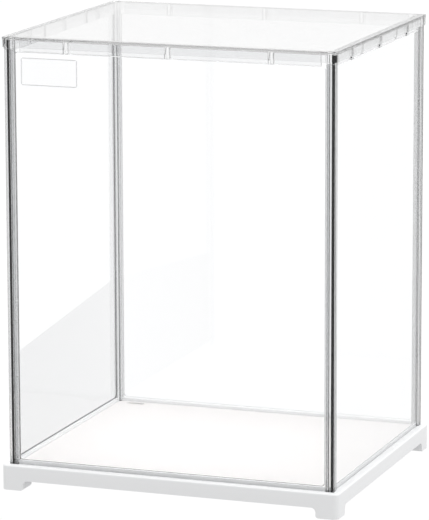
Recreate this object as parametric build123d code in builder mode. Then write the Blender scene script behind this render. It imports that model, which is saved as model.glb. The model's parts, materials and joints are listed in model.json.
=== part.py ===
"""Clear display case: four acrylic sheets held by grooved corner posts, standing in a white
footed base with a lift-out floor board, and closed by a clear moulded lid.

Frame: origin at the middle of the underside, on the surface the case stands on; X runs along the
width with the front facing -Y, and Z points up. Millimetres.
"""

import os

from build123d import *

# ---------------------------------------------------------------- driving dimensions
case_width = 246.6  # over the outer faces of the corner posts
case_depth = 211.6
case_height = 330.0  # underside of the feet to the top of the lid

sheet_thickness = 2.0
sheet_play = 0.05  # clearance on each face of a sheet in its groove
window_depth = 0.6  # the middle of a sheet is thinner than its rim
window_from_corner = 7.0  # from the case's corner to the window's side
window_bottom = 21.6
window_top = 319.5
window_radius = 3.0
window_edge_angle = 45  # degrees, the slope round the window

post_side = 6.5
post_outer_wall = 1.0
post_corner_radius = 0.6
post_groove_depth = 2.4
post_top = 321.0

base_overhang = 4.6  # how far the base stands out past the posts
base_top = 18.5
base_corner_radius = 4.0
base_top_radius = 1.3
base_wall = 2.2
base_underside = 14.0  # ceiling of the hollow under the base
seat_height = 16.0  # where the sheets and posts stand inside the base
deck_height = 16.5
curb_height = 21.1
curb_thickness = 1.5
rib_thickness = 1.6
rib_bottom = 10.0

foot_height = 7.4
foot_length = 16.5
foot_wall = 2.0
foot_inner_radius = 3.5
foot_tip_radius = 2.0
gap_flare = 6.0  # the outline of a skirt's gap runs this far past the foot's inner side
gap_start = 1.0  # and starts this far below the table
gap_start_radius = 0.1

floor_thickness = 2.5
floor_play = 0.35
slot_length = 14.5
slot_width = 5.0
slot_from_left = 19.8
slot_from_back = 10.3

lid_overhang = 1.5
lid_plate = 2.1
lid_skirt_inset = 0.3
lid_skirt_play = 0.1
lid_skirt_depth = 7.4  # below the top face
lid_lip_depth = 10.5
lid_lip_thickness = 1.3
lid_lip_play = 0.1
lid_corner_radius = 2.0
lid_edge_radius = 0.4
lid_lip_trim = 11.0  # the lip stops this far from the case's corner, clear of the post
lid_lip_gap = 3.0  # breaks in the lips along the sides
lid_lip_gap_shares = (-0.19, 0.19)
lid_block_play = 0.1  # between a corner block of the lid and the top of its post

key_width = 4.4  # notch in the top edge of a sheet
key_clearance = 0.3
key_rib = 1.2
key_rib_depth = 5.0
key_rib_taper = 94  # degrees, so that the rib narrows downwards
key_tongue = 2.2
key_shares = (-0.31, 0.0, 0.31)  # places along each side, as shares of its length

label_width = 43.0
label_height = 19.9
label_thickness = 0.15
label_radius = 2.0
label_from_post = 6.0
label_from_lid = 3.9

# ---------------------------------------------------------------- derived dimensions
half_width = case_width / 2
half_depth = case_depth / 2
sheet_outer = post_outer_wall + sheet_play  # from the post's outer face to the sheet's
sheet_inner = sheet_outer + sheet_thickness
groove_width = sheet_thickness + 2 * sheet_play
curb_outer = post_outer_wall + groove_width
curb_inner = curb_outer + curb_thickness
sheet_top = case_height - lid_plate
sheet_height = sheet_top - seat_height
sheet_edge = post_side - post_groove_depth  # sheet ends at the bottom of the post's groove
lip_bottom = case_height - lid_lip_depth
key_depth = sheet_top - lip_bottom + key_clearance

os.makedirs("parts", exist_ok=True)


def save(piece, name):
    """Label a finished piece and write it to its own file."""
    piece.part.label = name
    export_step(piece.part, f"parts/{name}.step")


# ---------------------------------------------------------------- base tray
def skirt_gap(span):
    """Outline of the gap under one skirt, between two feet, with rounded corners and foot tips."""
    side = span / 2 - foot_length
    flare = side + gap_flare
    FilletPolyline(
        (-flare, -gap_start),
        (-flare, 0),
        (-side, 0),
        (-side, foot_height),
        (side, foot_height),
        (side, 0),
        (flare, 0),
        (flare, -gap_start),
        radius=[
            gap_start_radius,
            foot_tip_radius,
            foot_inner_radius,
            foot_inner_radius,
            foot_tip_radius,
            gap_start_radius,
        ],
    )
    Line((flare, -gap_start), (-flare, -gap_start))


base_width = case_width + 2 * base_overhang
base_depth = case_depth + 2 * base_overhang
hollow_width = base_width - 2 * base_wall
hollow_depth = base_depth - 2 * base_wall
curb_outer_size = (case_width - 2 * curb_outer, case_depth - 2 * curb_outer)
curb_inner_size = (case_width - 2 * curb_inner, case_depth - 2 * curb_inner)
groove_outer_size = (case_width - 2 * post_outer_wall, case_depth - 2 * post_outer_wall)
slot_place = (-half_width + slot_from_left, half_depth - slot_from_back)
foot_core = foot_length - 2 * foot_wall

with BuildPart() as base_tray:
    with BuildSketch():
        RectangleRounded(base_width, base_depth, base_corner_radius)
    extrude(amount=base_top)
    fillet(base_tray.faces().sort_by(Axis.Z)[-1].edges(), base_top_radius)
    # the moulding is hollow underneath, apart from four corner feet
    with BuildSketch():
        RectangleRounded(hollow_width, hollow_depth, base_corner_radius - base_wall)
        with GridLocations(base_width - foot_length, base_depth - foot_length, 2, 2):
            Rectangle(foot_length, foot_length, mode=Mode.SUBTRACT)
    extrude(amount=base_underside, mode=Mode.SUBTRACT)
    # each foot is cored out from below to an even wall
    with BuildSketch():
        with GridLocations(base_width - foot_length, base_depth - foot_length, 2, 2):
            RectangleRounded(foot_core, foot_core, base_corner_radius - foot_wall)
    extrude(amount=base_underside - foot_wall, mode=Mode.SUBTRACT)
    # the skirts stop short of the table between the feet
    with BuildSketch(Plane.XZ):
        with BuildLine():
            skirt_gap(base_width)
        make_face()
    extrude(amount=base_depth, both=True, mode=Mode.SUBTRACT)
    with BuildSketch(Plane.YZ):
        with BuildLine():
            skirt_gap(base_depth)
        make_face()
    extrude(amount=base_width, both=True, mode=Mode.SUBTRACT)
    # stiffening ribs under the deck
    with BuildSketch(Plane.XY.offset(rib_bottom)):
        with GridLocations(0, base_depth / 3, 1, 2):
            Rectangle(hollow_width, rib_thickness)
        with GridLocations(base_width / 3, 0, 2, 1):
            Rectangle(rib_thickness, hollow_depth)
    extrude(amount=base_underside - rib_bottom)
    # recess for the floor board, groove for the sheets, and the curb between them
    with BuildSketch(Plane.XY.offset(deck_height)):
        Rectangle(*curb_inner_size)
    extrude(amount=base_top, mode=Mode.SUBTRACT)
    with BuildSketch(Plane.XY.offset(base_top)):
        Rectangle(*curb_outer_size)
        Rectangle(*curb_inner_size, mode=Mode.SUBTRACT)
    extrude(amount=curb_height - base_top)
    with BuildSketch(Plane.XY.offset(seat_height)):
        Rectangle(*groove_outer_size)
        Rectangle(*curb_outer_size, mode=Mode.SUBTRACT)
        with GridLocations(case_width - post_side, case_depth - post_side, 2, 2):
            Rectangle(post_side + 2 * sheet_play, post_side + 2 * sheet_play)
    extrude(amount=base_top, mode=Mode.SUBTRACT)
    # slot for a lamp lead, under the one in the floor board
    with BuildSketch():
        with Locations(slot_place):
            SlotOverall(slot_length, slot_width)
    extrude(amount=base_top, mode=Mode.SUBTRACT)
save(base_tray, "base_tray")

# ---------------------------------------------------------------- floor board
board_width = case_width - 2 * (curb_inner + floor_play)
board_depth = case_depth - 2 * (curb_inner + floor_play)
post_notch = post_side - curb_inner  # the board's corners clear the posts

with BuildPart() as floor_board:
    with BuildSketch(Plane.XY.offset(deck_height)):
        Rectangle(board_width, board_depth)
        with GridLocations(board_width, board_depth, 2, 2):
            Rectangle(2 * post_notch, 2 * post_notch, mode=Mode.SUBTRACT)
        with Locations(slot_place):
            SlotOverall(slot_length, slot_width, mode=Mode.SUBTRACT)
    extrude(amount=floor_thickness)
save(floor_board, "floor_board")


# ---------------------------------------------------------------- corner posts
def post_section(x_side, y_side, extra=0.0):
    """Section of the post in one corner: a square with a groove for each of two sheets."""
    centre = (x_side * (half_width - post_side / 2), y_side * (half_depth - post_side / 2))
    groove_middle = post_side / 2 - post_outer_wall - groove_width / 2
    groove_cut = (2 * post_groove_depth, groove_width)
    with Locations(centre):
        Rectangle(post_side + 2 * extra, post_side + 2 * extra)
        with Locations((-x_side * post_side / 2, y_side * groove_middle)):
            Rectangle(*groove_cut, mode=Mode.SUBTRACT)
        with Locations((x_side * groove_middle, -y_side * post_side / 2)):
            Rectangle(*reversed(groove_cut), mode=Mode.SUBTRACT)


def corner_post(name, x_side, y_side):
    """A clear post with one groove for the front or rear sheet and one for the side sheet."""
    with BuildPart() as post:
        with BuildSketch(Plane.XY.offset(seat_height)):
            post_section(x_side, y_side)
        extrude(amount=post_top - seat_height)
        case_corner = (x_side * half_width, y_side * half_depth, (seat_height + post_top) / 2)
        fillet(post.edges().filter_by(Axis.Z).sort_by_distance(case_corner)[0], post_corner_radius)
    save(post, name)


corner_post("corner_post_front_left", -1, -1)
corner_post("corner_post_front_right", 1, -1)
corner_post("corner_post_rear_left", -1, 1)
corner_post("corner_post_rear_right", 1, 1)


# ---------------------------------------------------------------- acrylic sheets
def sheet(name, face, span, reach):
    """A sheet on a plane at its outer face, with three key notches in its top edge."""
    width = span - 2 * sheet_edge
    with BuildPart() as pane:
        with BuildSketch(face.offset(reach - sheet_outer)):
            with Locations((0, seat_height + sheet_height / 2)):
                Rectangle(width, sheet_height)
            for share in key_shares:
                with Locations((share * span, sheet_top - key_depth / 2)):
                    Rectangle(key_width, key_depth, mode=Mode.SUBTRACT)
        extrude(amount=-sheet_thickness)
        with BuildSketch(face.offset(reach - sheet_inner)):
            with Locations((0, (window_bottom + window_top) / 2)):
                RectangleRounded(
                    span - 2 * window_from_corner, window_top - window_bottom, window_radius
                )
        extrude(amount=window_depth, taper=window_edge_angle, mode=Mode.SUBTRACT)
    save(pane, name)


front_face = Plane(origin=(0, 0, 0), x_dir=(1, 0, 0), z_dir=(0, -1, 0))
rear_face = Plane(origin=(0, 0, 0), x_dir=(-1, 0, 0), z_dir=(0, 1, 0))
left_face = Plane(origin=(0, 0, 0), x_dir=(0, -1, 0), z_dir=(-1, 0, 0))
right_face = Plane(origin=(0, 0, 0), x_dir=(0, 1, 0), z_dir=(1, 0, 0))

sheet("front_sheet", front_face, case_width, half_depth)
sheet("rear_sheet", rear_face, case_width, half_depth)
sheet("left_sheet", left_face, case_depth, half_width)
sheet("right_sheet", right_face, case_depth, half_width)

# ---------------------------------------------------------------- lid
lid_width = case_width + 2 * lid_overhang
lid_depth = case_depth + 2 * lid_overhang
skirt_outer_size = (lid_width - 2 * lid_skirt_inset, lid_depth - 2 * lid_skirt_inset)
skirt_inner_size = (case_width + 2 * lid_skirt_play, case_depth + 2 * lid_skirt_play)
lip_outer = sheet_inner + lid_lip_play
lip_inner = lip_outer + lid_lip_thickness


def key_set(face, span, reach):
    """Three keys of the lid on one side: a rib and a tongue that drop into each sheet's notch."""
    outer = reach + lid_skirt_play
    gap = lip_outer + lid_skirt_play
    rib_place = -key_width / 2 + key_clearance + key_rib / 2
    tongue_place = key_width / 2 - key_clearance - key_tongue / 2
    with BuildSketch(face.offset(outer)) as keys:
        for share in key_shares:
            with Locations((share * span + tongue_place, (sheet_top + lip_bottom) / 2)):
                Rectangle(key_tongue, sheet_top - lip_bottom)
            with Locations((share * span + rib_place, sheet_top)):
                Trapezoid(key_rib, key_rib_depth, key_rib_taper, align=(Align.CENTER, Align.MAX))
    extrude(keys.sketch, amount=-gap)


with BuildPart() as lid:
    with BuildSketch(Plane.XY.offset(sheet_top)):
        RectangleRounded(lid_width, lid_depth, lid_corner_radius)
    extrude(amount=lid_plate)
    fillet(lid.faces().sort_by(Axis.Z)[-1].edges(), lid_edge_radius)
    with BuildSketch(Plane.XY.offset(sheet_top)):
        RectangleRounded(*skirt_outer_size, lid_corner_radius)
        Rectangle(*skirt_inner_size, mode=Mode.SUBTRACT)
    extrude(amount=-(lid_skirt_depth - lid_plate))
    with BuildSketch(Plane.XY.offset(sheet_top)):
        Rectangle(case_width - 2 * lip_outer, case_depth - 2 * lip_outer)
        Rectangle(case_width - 2 * lip_inner, case_depth - 2 * lip_inner, mode=Mode.SUBTRACT)
        with GridLocations(case_width, case_depth, 2, 2):
            Rectangle(2 * lid_lip_trim, 2 * lid_lip_trim, mode=Mode.SUBTRACT)
        for share in lid_lip_gap_shares:
            with Locations((0, share * case_depth)):
                Rectangle(case_width, lid_lip_gap, mode=Mode.SUBTRACT)
    extrude(amount=-(sheet_top - lip_bottom))
    # blocks in the corners that stand over the posts
    with BuildSketch(Plane.XY.offset(sheet_top)):
        for x_side in (-1, 1):
            for y_side in (-1, 1):
                post_section(x_side, y_side, extra=lid_skirt_play)
    extrude(amount=-(sheet_top - post_top - lid_block_play))
    key_set(front_face, case_width, half_depth)
    key_set(rear_face, case_width, half_depth)
    key_set(left_face, case_depth, half_width)
    key_set(right_face, case_depth, half_width)
save(lid, "lid")

# ---------------------------------------------------------------- blank label
label_place = (
    -half_width + post_side + label_from_post + label_width / 2,
    lip_bottom - label_from_lid - label_height / 2,
)

with BuildPart() as blank_label:
    with BuildSketch(front_face.offset(half_depth - sheet_outer)):
        with Locations(label_place):
            RectangleRounded(label_width, label_height, label_radius)
    extrude(amount=label_thickness)
save(blank_label, "blank_label")
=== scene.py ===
import json
import math

import bpy
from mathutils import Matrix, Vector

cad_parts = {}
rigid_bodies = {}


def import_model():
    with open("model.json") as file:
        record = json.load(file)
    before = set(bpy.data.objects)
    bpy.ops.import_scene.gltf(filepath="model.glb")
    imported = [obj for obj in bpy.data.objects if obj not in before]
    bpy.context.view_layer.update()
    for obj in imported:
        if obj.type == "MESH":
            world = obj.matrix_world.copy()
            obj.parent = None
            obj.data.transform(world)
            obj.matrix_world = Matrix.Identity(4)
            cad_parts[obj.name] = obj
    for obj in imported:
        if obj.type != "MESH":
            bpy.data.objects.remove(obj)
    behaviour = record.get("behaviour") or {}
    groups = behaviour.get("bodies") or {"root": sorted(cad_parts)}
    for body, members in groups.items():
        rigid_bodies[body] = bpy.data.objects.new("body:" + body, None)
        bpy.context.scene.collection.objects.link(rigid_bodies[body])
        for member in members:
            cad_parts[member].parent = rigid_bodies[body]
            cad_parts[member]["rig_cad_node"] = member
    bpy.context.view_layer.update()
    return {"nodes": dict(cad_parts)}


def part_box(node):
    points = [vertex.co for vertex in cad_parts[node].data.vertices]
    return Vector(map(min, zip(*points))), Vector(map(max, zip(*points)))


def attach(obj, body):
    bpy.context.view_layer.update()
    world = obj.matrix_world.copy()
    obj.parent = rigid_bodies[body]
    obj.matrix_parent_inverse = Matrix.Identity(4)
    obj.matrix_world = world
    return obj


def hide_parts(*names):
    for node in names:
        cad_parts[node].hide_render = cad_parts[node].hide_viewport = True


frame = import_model()


# ------------------------------------------------------------------ base tray
# One injection moulding in white ABS: a shallow tray on four cored-out feet, with a groove all
# round that the sheets and posts stand in and a low curb inside it that the floor board drops
# behind. It comes out of the mould with a fine satin grain and slightly softened edges.
PLASTIC_WHITE = (0.86, 0.865, 0.87, 1)
PLASTIC_WHITE_THICK = (0.83, 0.835, 0.845, 1)
PLASTIC_IOR = 1.53
PLASTIC_SATIN = (0.34, 0.46)
TONE_PATCHES = 9  # thick and thin walls cool at different rates and vary a little in tone
GRAIN_SCALE = 2600  # spark-eroded mould grain, about a third of a millimetre across
GRAIN_STRENGTH = 0.25
GRAIN_DEPTH = 0.00003
TRAY_EDGE = 0.00025
MERGE_WITHIN = 0.00001
FLAT_WITHIN = math.radians(0.5)
SHARP_FROM = math.radians(40)


def softened_copy(node_name, piece_name, edge, rounded_look=True):
    """A merged copy of a moulded part with its sharp edges rounded by a small radius."""
    bpy.ops.object.select_all(action="DESELECT")
    part = frame["nodes"][node_name]
    bpy.context.view_layer.objects.active = part
    part.select_set(True)
    bpy.ops.object.duplicate()
    piece = bpy.context.view_layer.objects.active
    piece.name = piece_name
    piece.data.name = piece_name
    del piece["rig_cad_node"]
    bpy.ops.object.mode_set(mode="EDIT")
    bpy.ops.mesh.select_all(action="SELECT")
    bpy.ops.mesh.customdata_custom_splitnormals_clear()
    bpy.ops.mesh.remove_doubles(threshold=MERGE_WITHIN)
    bpy.ops.mesh.dissolve_limited(angle_limit=FLAT_WITHIN)
    bpy.ops.object.mode_set(mode="OBJECT")
    bevel = piece.modifiers.new("soft_edge", "BEVEL")
    bevel.width = edge
    bevel.segments = 2
    bevel.limit_method = "ANGLE"
    bevel.angle_limit = SHARP_FROM
    bevel.harden_normals = rounded_look
    if rounded_look:
        bpy.ops.object.shade_smooth()
    bpy.ops.object.modifier_apply(modifier=bevel.name)
    return piece


def new_plastic(name, ior):
    """A material with its node tree and its Principled shader."""
    made = bpy.data.materials.new(name)
    made.use_nodes = True
    shader = made.node_tree.nodes["Principled BSDF"]
    shader.inputs["IOR"].default_value = ior
    return made, made.node_tree, shader


def feed(tree, socket, value):
    """Links a socket to another one, or sets it to a plain value."""
    if isinstance(value, bpy.types.NodeSocket):
        tree.links.new(value, socket)
    else:
        socket.default_value = value


def mix(tree, factor, first, second, kind="RGBA"):
    """A socket that goes from the first value to the second."""
    node = tree.nodes.new("ShaderNodeMix")
    node.data_type = kind
    feed(tree, node.inputs["Factor"], factor)
    feed(tree, node.inputs["A"], first)
    feed(tree, node.inputs["B"], second)
    return node.outputs["Result"]


def ramp(tree, value, low, high, start=0.0, end=1.0):
    """A socket that goes from low to high while the value goes from start to end."""
    node = tree.nodes.new("ShaderNodeMapRange")
    feed(tree, node.inputs["Value"], value)
    feed(tree, node.inputs["From Min"], start)
    feed(tree, node.inputs["From Max"], end)
    feed(tree, node.inputs["To Min"], low)
    feed(tree, node.inputs["To Max"], high)
    return node.outputs["Result"]


def effect_group(name, numbers, colours, outputs):
    """An empty node group with named sockets, and the nodes at its two ends."""
    group = bpy.data.node_groups.new(name, "ShaderNodeTree")
    for label in numbers:
        group.interface.new_socket(label, in_out="INPUT", socket_type="NodeSocketFloat")
    for label in colours:
        group.interface.new_socket(label, in_out="INPUT", socket_type="NodeSocketColor")
    for label, kind in outputs:
        group.interface.new_socket(label, in_out="OUTPUT", socket_type=kind)
    return group, group.nodes.new("NodeGroupInput"), group.nodes.new("NodeGroupOutput")


def noise_in(tree, scale, detail):
    """A noise texture on Object coordinates."""
    place = tree.nodes.new("ShaderNodeTexCoord")
    noise = tree.nodes.new("ShaderNodeTexNoise")
    tree.links.new(place.outputs["Object"], noise.inputs["Vector"])
    feed(tree, noise.inputs["Scale"], scale)
    feed(tree, noise.inputs["Detail"], detail)
    return noise


def add_bump(tree, shader, height, strength, depth):
    """Puts a height on a shader's normal."""
    bump = tree.nodes.new("ShaderNodeBump")
    bump.inputs["Strength"].default_value = strength
    bump.inputs["Distance"].default_value = depth
    tree.links.new(height, bump.inputs["Height"])
    tree.links.new(bump.outputs["Normal"], shader.inputs["Normal"])


# slow drift of tone and roughness over a white surface
tone_drift, given, result = effect_group(
    "tone_drift",
    ("Patches", "Detail", "Smooth", "Rough"),
    ("Light Tone", "Dark Tone"),
    (("Color", "NodeSocketColor"), ("Roughness", "NodeSocketFloat")),
)
patches = noise_in(tone_drift, given.outputs["Patches"], given.outputs["Detail"]).outputs["Fac"]
feed(tone_drift, result.inputs["Color"],
     mix(tone_drift, patches, given.outputs["Light Tone"], given.outputs["Dark Tone"]))
feed(tone_drift, result.inputs["Roughness"],
     ramp(tone_drift, patches, given.outputs["Smooth"], given.outputs["Rough"]))


def add_drift(tree, shader, patches, detail, tones, roughness):
    """Places the drift group in a material, on its colour and roughness."""
    drift = tree.nodes.new("ShaderNodeGroup")
    drift.node_tree = tone_drift
    drift.inputs["Patches"].default_value = patches
    drift.inputs["Detail"].default_value = detail
    drift.inputs["Light Tone"].default_value, drift.inputs["Dark Tone"].default_value = tones
    drift.inputs["Smooth"].default_value, drift.inputs["Rough"].default_value = roughness
    tree.links.new(drift.outputs["Color"], shader.inputs["Base Color"])
    tree.links.new(drift.outputs["Roughness"], shader.inputs["Roughness"])


tray = softened_copy("base_tray", "base_tray_moulding", TRAY_EDGE)
white_plastic, tree, shader = new_plastic("satin_white_abs", PLASTIC_IOR)
add_drift(tree, shader, TONE_PATCHES, 3, (PLASTIC_WHITE, PLASTIC_WHITE_THICK), PLASTIC_SATIN)
grain = noise_in(tree, GRAIN_SCALE, 2)
add_bump(tree, shader, grain.outputs["Fac"], GRAIN_STRENGTH, GRAIN_DEPTH)
tray.material_slots[0].material = white_plastic
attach(tray, "base")
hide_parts("base_tray")


# ------------------------------------------------------------------ floor board
# A loose board of white expanded PVC, cut to size with square corners notched round the posts
# and a routed slot for a lamp lead. It lies in the tray, and has a matt, faintly pebbled skin.
BOARD_WHITE = (0.842, 0.824, 0.816, 1)
BOARD_SHADE = (0.827, 0.809, 0.801, 1)
BOARD_IOR = 1.45
BOARD_MATT = (0.62, 0.74)
BOARD_PATCHES = 14
PEBBLE_SCALE = 1500
PEBBLE_STRENGTH = 0.2
PEBBLE_DEPTH = 0.00004
BOARD_EDGE = 0.0002

board = softened_copy("floor_board", "floor_board_panel", BOARD_EDGE)
board_matt, tree, shader = new_plastic("matt_white_board", BOARD_IOR)
add_drift(tree, shader, BOARD_PATCHES, 4, (BOARD_WHITE, BOARD_SHADE), BOARD_MATT)
place = tree.nodes.new("ShaderNodeTexCoord")
pebble = tree.nodes.new("ShaderNodeTexVoronoi")
pebble.inputs["Scale"].default_value = PEBBLE_SCALE
tree.links.new(place.outputs["Object"], pebble.inputs["Vector"])
add_bump(tree, shader, pebble.outputs["Distance"], PEBBLE_STRENGTH, PEBBLE_DEPTH)
board.material_slots[0].material = board_matt
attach(board, "floor")
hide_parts("floor_board")


# ------------------------------------------------------------------ corner posts
# Four extruded clear acrylic posts, each with two grooves that take the edges of two sheets. They
# push into the corners of the tray's groove. The outside is glossy, while the die leaves the walls
# of the grooves and the inner faces finely drawn and a little rough. These faces also carry a
# painted grey shade that makes the posts look dark.
CLEAR_IOR = 1.49
POST_CLEAR = (0.945, 0.95, 0.955, 1)
# painted shade: the grey tint of the grooves' walls and the inner faces
POST_PAINTED_SHADE = (0.6, 0.605, 0.61, 1)
DRAWN_ROUGH = 0.06
POST_SMEAR = 0.03
POST_SMEAR_SCALE = 40
POST_EDGE = 0.00015
POST_SKIN = 0.00012  # how far in from the outside the glossy skin reaches
CLOUD_DISTORTION = 0.6
SMEARED_FROM, SMEARED_TO = 0.5, 0.8  # the part of the cloud over which a smear comes in
RIPPLE_STRENGTH = 0.3
RIPPLE_DEPTH = 0.00001


def clear_plastic(name):
    """Clear acrylic that lets light through to what it encloses, with its Principled shader."""
    made, tree, acrylic = new_plastic(name, CLEAR_IOR)
    acrylic.inputs["Transmission Weight"].default_value = 1
    path = tree.nodes.new("ShaderNodeLightPath")
    through = tree.nodes.new("ShaderNodeBsdfTransparent")
    choose = tree.nodes.new("ShaderNodeMixShader")
    tree.links.new(path.outputs["Is Shadow Ray"], choose.inputs[0])
    tree.links.new(acrylic.outputs[0], choose.inputs[1])
    tree.links.new(through.outputs[0], choose.inputs[2])
    tree.links.new(choose.outputs[0], tree.nodes["Material Output"].inputs["Surface"])
    return made, tree, acrylic


def calc(tree, operation, *values):
    """The result of a Math node on sockets or plain numbers."""
    node = tree.nodes.new("ShaderNodeMath")
    node.operation = operation
    for socket, value in zip(node.inputs, values):
        feed(tree, socket, value)
    return node.outputs[0]


def beyond(tree, value, limit):
    """A socket that is 1 where the size of a value is over a limit."""
    return calc(tree, "GREATER_THAN", calc(tree, "ABSOLUTE", value), limit)


def parts_of(tree, node_type, output):
    """The X, Y and Z of a node's vector."""
    vector = tree.nodes.new(node_type).outputs[output]
    split = tree.nodes.new("ShaderNodeSeparateXYZ")
    tree.links.new(vector, split.inputs[0])
    return split.outputs


# faint smears and rub marks of a clear plastic face
handling_wear, given, result = effect_group(
    "handling_wear",
    ("Polish", "Smear", "Scale"),
    (),
    (("Roughness", "NodeSocketFloat"), ("Height", "NodeSocketFloat")),
)
smears = noise_in(handling_wear, given.outputs["Scale"], 4)
smears.inputs["Distortion"].default_value = CLOUD_DISTORTION
feed(handling_wear, result.inputs["Roughness"],
     ramp(handling_wear, smears.outputs["Fac"], given.outputs["Polish"], given.outputs["Smear"],
          SMEARED_FROM, SMEARED_TO))
feed(handling_wear, result.inputs["Height"], smears.outputs["Fac"])


def add_wear(tree, shader, smear, scale, glossy=None, rough=0.0):
    """Places the wear group in a material, which is evenly rough where glossy is 0."""
    wear = tree.nodes.new("ShaderNodeGroup")
    wear.node_tree = handling_wear
    wear.inputs["Scale"].default_value = scale
    for name, polished in (("Polish", 0.0), ("Smear", smear)):
        value = polished if glossy is None else ramp(tree, glossy, rough, polished)
        feed(tree, wear.inputs[name], value)
    tree.links.new(wear.outputs["Roughness"], shader.inputs["Roughness"])
    add_bump(tree, shader, wear.outputs["Height"], RIPPLE_STRENGTH, RIPPLE_DEPTH)


post_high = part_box("corner_post_rear_right")[1]
post_acrylic, tree, shader = clear_plastic("clear_post_acrylic")
across = parts_of(tree, "ShaderNodeTexCoord", "Object")
outside = calc(
    tree,
    "MAXIMUM",
    beyond(tree, across["X"], post_high.x - POST_SKIN),
    beyond(tree, across["Y"], post_high.y - POST_SKIN),
)
# painted shade on every face of the posts but their glossy outer skin
feed(tree, shader.inputs["Base Color"], mix(tree, outside, POST_PAINTED_SHADE, POST_CLEAR))
add_wear(tree, shader, POST_SMEAR, POST_SMEAR_SCALE, outside, DRAWN_ROUGH)
for corner in ("front_left", "front_right", "rear_left", "rear_right"):
    node_name = "corner_post_" + corner
    post = softened_copy(node_name, "post_" + corner, POST_EDGE, rounded_look=False)
    post.material_slots[0].material = post_acrylic
    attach(post, "cover")
    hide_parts(node_name)


# ------------------------------------------------------------------ acrylic sheets
# Four clear acrylic sheets, a little thinner in the middle than at the rim, slid down the posts'
# grooves. The broad faces are glossy; the sawn edges and the slope round the middle are frosted,
# and they carry a painted grey shade.
SHEET_CLEAR = (0.99, 0.992, 0.995, 1)
# painted shade on the sheets' edges and on the slope round the middle
SHEET_EDGE_PAINTED_SHADE = (0.78, 0.785, 0.79, 1)
SAWN_ROUGH = 0.55
SHEET_SMEAR = 0.012
SHEET_SMEAR_SCALE = 12
FACE_ON = 0.9  # a broad face's normal lies along the sheet's thickness

sheet_acrylic, tree, shader = clear_plastic("clear_sheet_acrylic")
turned = parts_of(tree, "ShaderNodeNewGeometry", "True Normal")
broad = calc(
    tree, "MAXIMUM", beyond(tree, turned["X"], FACE_ON), beyond(tree, turned["Y"], FACE_ON)
)
# painted shade: grey on every face of a sheet but the broad ones
feed(tree, shader.inputs["Base Color"], mix(tree, broad, SHEET_EDGE_PAINTED_SHADE, SHEET_CLEAR))
add_wear(tree, shader, SHEET_SMEAR, SHEET_SMEAR_SCALE, broad, SAWN_ROUGH)
for side in ("front", "rear", "left", "right"):
    sheet = frame["nodes"][side + "_sheet"]
    sheet.material_slots[0].material = sheet_acrylic


# ------------------------------------------------------------------ lid
# One clear injection moulding: a plate with a skirt outside the sheets, a lip inside them, keys
# that drop into the sheets' notches and a block over each post. It just rests on the sheets.
LID_CLEAR = (0.99, 0.99, 0.99, 1)
# painted shade: light grey on the skirt, lip and keys, darker on the faces under the plate that
# look down
LID_UPRIGHT_PAINTED_SHADE = (0.9, 0.902, 0.905, 1)  # tint of the skirt, lip and keys
LID_UNDERSIDE_PAINTED_SHADE = (0.55, 0.555, 0.56, 1)  # tint of the faces that look down
LID_PLATE = 0.0021
LID_EDGE = 0.0001
LID_SMEAR = 0.02
LID_SMEAR_SCALE = 25

lid = softened_copy("lid", "lid_moulding", LID_EDGE, rounded_look=False)
lid_plastic, tree, shader = clear_plastic("clear_lid_plastic")
add_wear(tree, shader, LID_SMEAR, LID_SMEAR_SCALE)
turned = parts_of(tree, "ShaderNodeNewGeometry", "True Normal")
height = parts_of(tree, "ShaderNodeTexCoord", "Object")["Z"]
plate_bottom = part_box("lid")[1].z - LID_PLATE
in_plate = beyond(tree, height, plate_bottom - LID_EDGE)
open_face = calc(tree, "MAXIMUM", beyond(tree, turned["Z"], FACE_ON), in_plate)
looks_down = calc(tree, "LESS_THAN", turned["Z"], -FACE_ON)
shaded_underside = calc(tree, "GREATER_THAN", calc(tree, "SUBTRACT", looks_down, in_plate), 0.5)
# painted shade by which way a face turns: the uprights a little grey, the faces below the plate
# that look down darker
moulded = mix(tree, open_face, LID_UPRIGHT_PAINTED_SHADE, LID_CLEAR)
feed(tree, shader.inputs["Base Color"], mix(tree, shaded_underside, moulded, LID_UNDERSIDE_PAINTED_SHADE))
lid.material_slots[0].material = lid_plastic
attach(lid, "lid")
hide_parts("lid")


# ------------------------------------------------------------------ blank label
# A thin clear film on a layer of adhesive, stuck to the front sheet. It is blank apart from a
# fine grey rule printed all round just inside its edge.
INK_GREY = (0.62, 0.63, 0.64, 1)
FILM_TINT = (0.9, 0.9, 0.9, 1)
FILM_COVER = 0.03
INK_COVER = 0.5
FILM_ROUGH = 0.3
FILM_EDGE = 0.00002
RULE_INSET = 0.0001
RULE_WIDTH = 0.0006
LABEL_CORNER = 0.001
ADHESIVE = 0.00003

label_low, label_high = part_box("blank_label")
label = softened_copy("blank_label", "label_film", FILM_EDGE, rounded_look=False)
bpy.ops.object.mode_set(mode="EDIT")
bpy.ops.mesh.select_all(action="SELECT")
bpy.ops.transform.resize(
    value=(1, 1 - ADHESIVE / (label_high.y - label_low.y), 1),
    center_override=(0, label_low.y, 0),
)
bpy.ops.object.mode_set(mode="OBJECT")


def vector_calc(tree, operation, *values):
    """The Vector Math node on sockets or plain vectors."""
    node = tree.nodes.new("ShaderNodeVectorMath")
    node.operation = operation
    for socket, value in zip(node.inputs, values):
        feed(tree, socket, value)
    return node.outputs


label_print = bpy.data.materials.new("printed_film")
label_print.use_nodes = True
tree = label_print.node_tree
shader = tree.nodes["Principled BSDF"]
shader.inputs["Roughness"].default_value = FILM_ROUGH
place = tree.nodes.new("ShaderNodeTexCoord")
centred = tree.nodes.new("ShaderNodeMapping")
centred.inputs["Location"].default_value = -(label_low + label_high) / 2
tree.links.new(place.outputs["Object"], centred.inputs["Vector"])
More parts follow.
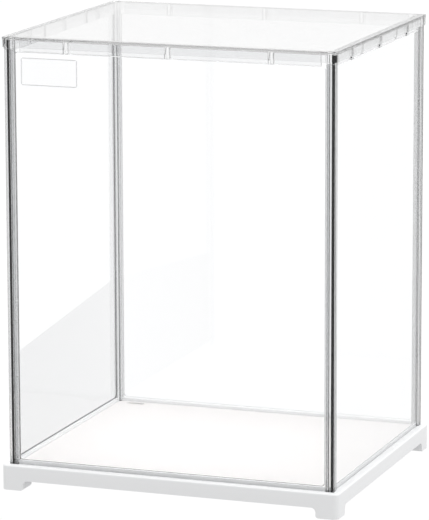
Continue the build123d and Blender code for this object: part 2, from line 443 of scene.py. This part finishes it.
# how far a point is outside the rectangle through the centres of the rounded corners
corner_centre = (
    (label_high.x - label_low.x) / 2 - LABEL_CORNER,
    1,
    (label_high.z - label_low.z) / 2 - LABEL_CORNER,
)
folded = vector_calc(tree, "ABSOLUTE", centred.outputs[0])["Vector"]
past_centre = vector_calc(tree, "SUBTRACT", folded, corner_centre)["Vector"]
outward = vector_calc(tree, "MAXIMUM", past_centre, (0, 0, 0))["Vector"]
reach = vector_calc(tree, "LENGTH", outward)["Value"]
rule_middle = LABEL_CORNER - RULE_INSET - RULE_WIDTH / 2
on_rule = calc(tree, "COMPARE", reach, rule_middle, RULE_WIDTH / 2)
feed(tree, shader.inputs["Base Color"], mix(tree, on_rule, FILM_TINT, INK_GREY))
feed(tree, shader.inputs["Alpha"], ramp(tree, on_rule, FILM_COVER, INK_COVER))
label.material_slots[0].material = label_print
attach(label, "cover")
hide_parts("blank_label")


# ------------------------------------------------------------------ studio
# A plain white sweep under a large softbox. What is looked at directly or through the case is
# white. Light that is reflected once or twice is nearly so, and light that has bounced about
# inside the plastic more often comes from the dimmer rest of the room.
DIRECT_WHITE = 1.02
THROUGH_WHITE = 1.05
TABLE_LIGHT = 1.0  # the table below the horizon, as reflected
ROOM_LIGHT = 1.0  # the room above it
HORIZON = 0.05  # half the height of the soft change between them
TABLE_BOUNCE = 0.6  # light that the table throws up on to matt surfaces
TRAPPED_SHARE = 0.55
TRAPPED_FROM, TRAPPED_TO = 1, 3  # reflections over which the light of the room fades
CLEAR_BOUNCES = 32
GLOSSY_BOUNCES = 24
FLOOR_SIDE = 3
FLOOR_DROP = 0.0002
SOFTBOX_SIDE = 1.2
SOFTBOX_WATTS = 11
SOFTBOX_AT = (0.6, 0.1, 1.5)
SOFTBOX_TILT = math.radians(22)

scene = bpy.context.scene
scene.view_settings.view_transform = "Standard"
scene.cycles.max_bounces = CLEAR_BOUNCES
scene.cycles.glossy_bounces = GLOSSY_BOUNCES
scene.cycles.transmission_bounces = CLEAR_BOUNCES
scene.cycles.transparent_max_bounces = CLEAR_BOUNCES
scene.cycles.caustics_reflective = False


def studio_light(tree, level, to_matt=None):
    """Brightness of the studio for a ray, by how the ray got there."""
    path = tree.nodes.new("ShaderNodeLightPath").outputs
    unreflected = calc(tree, "LESS_THAN", path["Glossy Depth"], 0.5)
    seen_through = calc(tree, "MULTIPLY", path["Is Transmission Ray"], unreflected)
    trapped = ramp(tree, path["Glossy Depth"], 1, TRAPPED_SHARE, TRAPPED_FROM, TRAPPED_TO)
    reflected = calc(tree, "MULTIPLY", trapped, level)
    behind = mix(tree, seen_through, reflected, THROUGH_WHITE, "FLOAT")
    direct = mix(tree, path["Is Camera Ray"], behind, DIRECT_WHITE, "FLOAT")
    if to_matt is None:
        return direct
    return mix(tree, path["Is Diffuse Ray"], direct, to_matt, "FLOAT")


def glow_material(name):
    """An empty material that only shines, without lighting the scene by its own samples."""
    made = bpy.data.materials.new(name)
    made.use_nodes = True
    made.cycles.emission_sampling = "NONE"
    tree = made.node_tree
    tree.nodes.clear()
    glow = tree.nodes.new("ShaderNodeEmission")
    out = tree.nodes.new("ShaderNodeOutputMaterial")
    tree.links.new(glow.outputs[0], out.inputs["Surface"])
    return made, tree, glow


world = bpy.data.worlds.new("studio")
scene.world = world
world.use_nodes = True
tree = world.node_tree
tree.nodes.clear()
# Table and room are equally bright, but the world still reads a direction: without one the floor
# board renders darker, probably because an even world is left out of the light sampling.
upward = parts_of(tree, "ShaderNodeTexCoord", "Generated")["Z"]
level = ramp(tree, upward, TABLE_LIGHT, ROOM_LIGHT, -HORIZON, HORIZON)
level.node.interpolation_type = "SMOOTHSTEP"
sweep = tree.nodes.new("ShaderNodeBackground")
sweep.inputs["Color"].default_value = (1, 1, 1, 1)
feed(tree, sweep.inputs["Strength"], studio_light(tree, level))
out = tree.nodes.new("ShaderNodeOutputWorld")
tree.links.new(sweep.outputs[0], out.inputs["Surface"])

bpy.ops.object.select_all(action="DESELECT")
bpy.ops.mesh.primitive_plane_add(size=FLOOR_SIDE, location=(0, 0, -FLOOR_DROP))
floor = bpy.context.object
floor.name = "studio_floor"
pale, tree, glow = glow_material("pale_floor")
feed(tree, glow.inputs["Strength"], studio_light(tree, TABLE_LIGHT, TABLE_BOUNCE))
floor.data.materials.append(pale)

bpy.ops.object.light_add(type="AREA", location=SOFTBOX_AT)
key = bpy.context.object
key.name = "overhead_softbox"
key.data.size = SOFTBOX_SIDE
key.data.energy = SOFTBOX_WATTS
key.rotation_euler = (0, SOFTBOX_TILT, 0)

# A hidden glowing card just inside the left sheet, seen only by reflected rays, which puts a soft
# painted reflection into that sheet: dark at the front and dim grey towards the rear.
CARD_GAP = 0.00005
CARD_HALF_LENGTH = 0.0988
CARD_BOTTOM = 0.0216
CARD_FRONT_HEIGHT = 0.098
CARD_REAR_HEIGHT = 0.116
CARD_SHADE_FRONT = 0.0
CARD_SHADE_REAR = 0.35

bpy.ops.object.select_all(action="DESELECT")
sheet_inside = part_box("left_sheet")[1].x
bpy.ops.mesh.primitive_plane_add(size=2, rotation=(0, math.pi / 2, 0))
card = bpy.context.object
card.name = "painted_reflection_card"
bpy.ops.object.transform_apply(rotation=True)
for vertex in card.data.vertices:
    top = CARD_REAR_HEIGHT if vertex.co.y > 0 else CARD_FRONT_HEIGHT
    vertex.co = (
        sheet_inside + CARD_GAP,
        math.copysign(CARD_HALF_LENGTH, vertex.co.y),
        top if vertex.co.z > 0 else CARD_BOTTOM,
    )
card.visible_camera = False
card.visible_diffuse = False
card.visible_transmission = False
card.visible_shadow = False
card.visible_volume_scatter = False
dark, tree, glow = glow_material("painted_reflection_glow")
along = parts_of(tree, "ShaderNodeTexCoord", "Object")["Y"]
shade = ramp(
    tree, along, CARD_SHADE_FRONT, CARD_SHADE_REAR, -CARD_HALF_LENGTH, CARD_HALF_LENGTH
)
# painted reflection: the card's glow, nothing at the front and brighter towards the rear
feed(tree, glow.inputs["Strength"], shade)
card.data.materials.append(dark)

CAMERA_AT = (0.8804, -2.4282, 0.6744)
CAMERA_DOWN = 0.1961  # radians below the horizon
CAMERA_ROLL = 0.0031
CAMERA_TURN = 0.3487
CAMERA_LENS = 249
CAMERA_FILM = 36
CAMERA_SHIFT = (0.0014, -0.0115)
CAMERA_REACH = 50

bpy.ops.object.camera_add(
    location=CAMERA_AT, rotation=(math.pi / 2 - CAMERA_DOWN, CAMERA_ROLL, CAMERA_TURN)
)
camera = bpy.context.object
camera.data.lens = CAMERA_LENS
camera.data.sensor_width = CAMERA_FILM
camera.data.shift_x, camera.data.shift_y = CAMERA_SHIFT
camera.data.clip_end = CAMERA_REACH
scene.camera = camera
